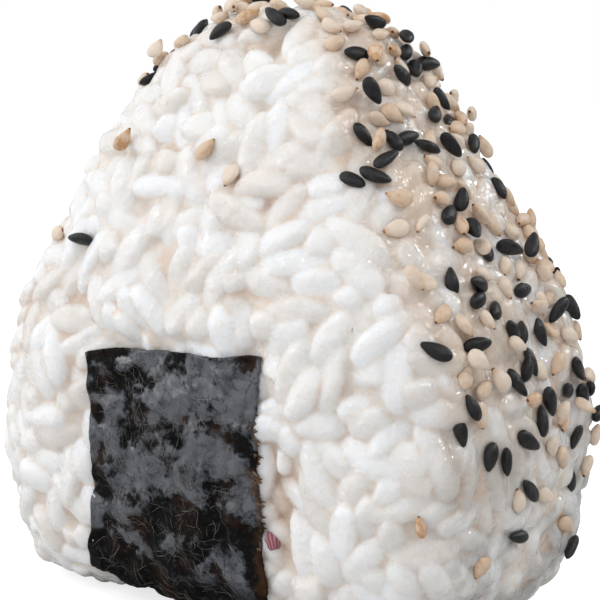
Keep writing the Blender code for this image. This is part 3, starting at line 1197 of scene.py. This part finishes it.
lamps = [  # name, place, size, power, colour
    ("keyLamp", (-0.38, -0.45, 0.45), 0.08, 0.50, (1.0, 0.985, 0.96)),
    ("rimLamp", (0.26, 0.50, 0.34), 0.10, 0.90, (0.92, 0.96, 1.0)),
    ("sideLamp", (0.46, 0.06, 0.44), 0.05, 0.80, (1.0, 0.98, 0.95)),
    ("topLamp", (0.10, -0.30, 0.62), 0.08, 0.18, (1.0, 1.0, 1.0)),
    ("fillLamp", (-0.55, -0.42, 0.03), 0.30, 0.62, (1.0, 1.0, 1.0)),
]
studio = {
    "lampAim": (0, 0, 0.035),
    "domeColor": (0.97, 0.98, 1.0),
    "brightWay": (-0.62, -0.76, 0.14),
    "spreadRange": (-0.72, 0.75),
    "domeRange": (0.13, 1.13),  # the dome's light, from its dark side to its bright one
    "floorHalf": 1.5,
    "floorPaint": (0.60, 0.60, 0.60),
    "floorGlow": 0.72,  # brightens only what the camera sees
}


def makeLights():
    for name, place, size, power, color in lamps:
        light = bpy.data.lights.new(name, "AREA")
        light.shape, light.size, light.energy, light.color = "DISK", size, power, color
        lamp = addObject(name, light)
        lamp.location = place
        way = Vector(studio["lampAim"]) - Vector(place)
        lamp.rotation_euler = way.to_track_quat("-Z", "Y").to_euler()


def makeDome():
    world = bpy.data.worlds.new("studio")
    bpy.context.scene.world = world
    world.use_nodes = True
    dome = Wiring(world.node_tree)
    ways = {0: dome.add("ShaderNodeTexCoord"), 1: Vector(studio["brightWay"]).normalized()}
    facing = dome.add("ShaderNodeVectorMath", {"operation": "DOT_PRODUCT"}, ways, "Value")
    glow = dome.fade(facing, *studio["spreadRange"], *studio["domeRange"])
    soft = dome.add("ShaderNodeBackground", {}, {"Color": studio["domeColor"], "Strength": glow})
    seen = dome.add("ShaderNodeBackground", {}, {"Color": (1.0, 1.0, 1.0), "Strength": 1.0})
    camera = dome.add("ShaderNodeLightPath", output="Is Camera Ray")
    mixed = dome.add("ShaderNodeMixShader", {}, {0: camera, 1: soft, 2: seen})
    dome.join(dome.tree.nodes["World Output"].inputs["Surface"], mixed)


def makeFloor():
    finish = Finish("floorPaint", Roughness=0.8, Specular_IOR_Level=0.0, Emission_Color=(1.0, 1.0, 1.0))
    camera = finish.add("ShaderNodeLightPath", output="Is Camera Ray")
    finish.feed("Emission Strength", camera * studio["floorGlow"])
    finish.feed("Base Color", studio["floorPaint"])
    mesh = bpy.data.meshes.new("floor")
    half = studio["floorHalf"]
    corners = [(-half, -half, 0), (half, -half, 0), (half, half, 0), (-half, half, 0)]
    mesh.from_pydata(corners, [], [(0, 1, 2, 3)])
    mesh.materials.append(finish.material)
    floor = addObject("floor", mesh)


makeCamera()
makeLights()
makeDome()
makeFloor()
bpy.context.scene.view_settings.view_transform = "Standard"
outlinePoints, outlineFaces = nodeTriangles("rice")
field = DepthField(outlinePoints, outlineFaces, outlineField)
print("outline field", field.table.shape)
grains = shapeGrains(field, packGrains(field, outlinePoints, outlineFaces))
grainSpots = makeGrains(field, grains)
riceTree = grainTree(grainSpots)
ways, reach = coreReach(field, riceTree)
rice = fusedRice(field, riceTree, grainSpots, grains, ways, reach, riceFinish("cookedRice"))
skinTree = pieceTree(rice)
seeds = placeSeeds(field, skinTree, outlinePoints, outlineFaces)
black = seeds[7].astype(bool)
seedPiece("blackSesame", seeds, black, blackSesame["pointed"], blackSesameFinish())
seedPiece("whiteSesame", seeds, ~black, whiteSesame["pointed"], whiteSesameFinish())
sheet = noriSheet(skinTree, noriFinish())
noriFibres(sheet, strandFinish("paleHair", fibreShape, 0.5))
noriFringe(sheet, strandFinish("tornNori", fringeShape, 0.45))
pinkFlake(skinTree, pinkFinish())
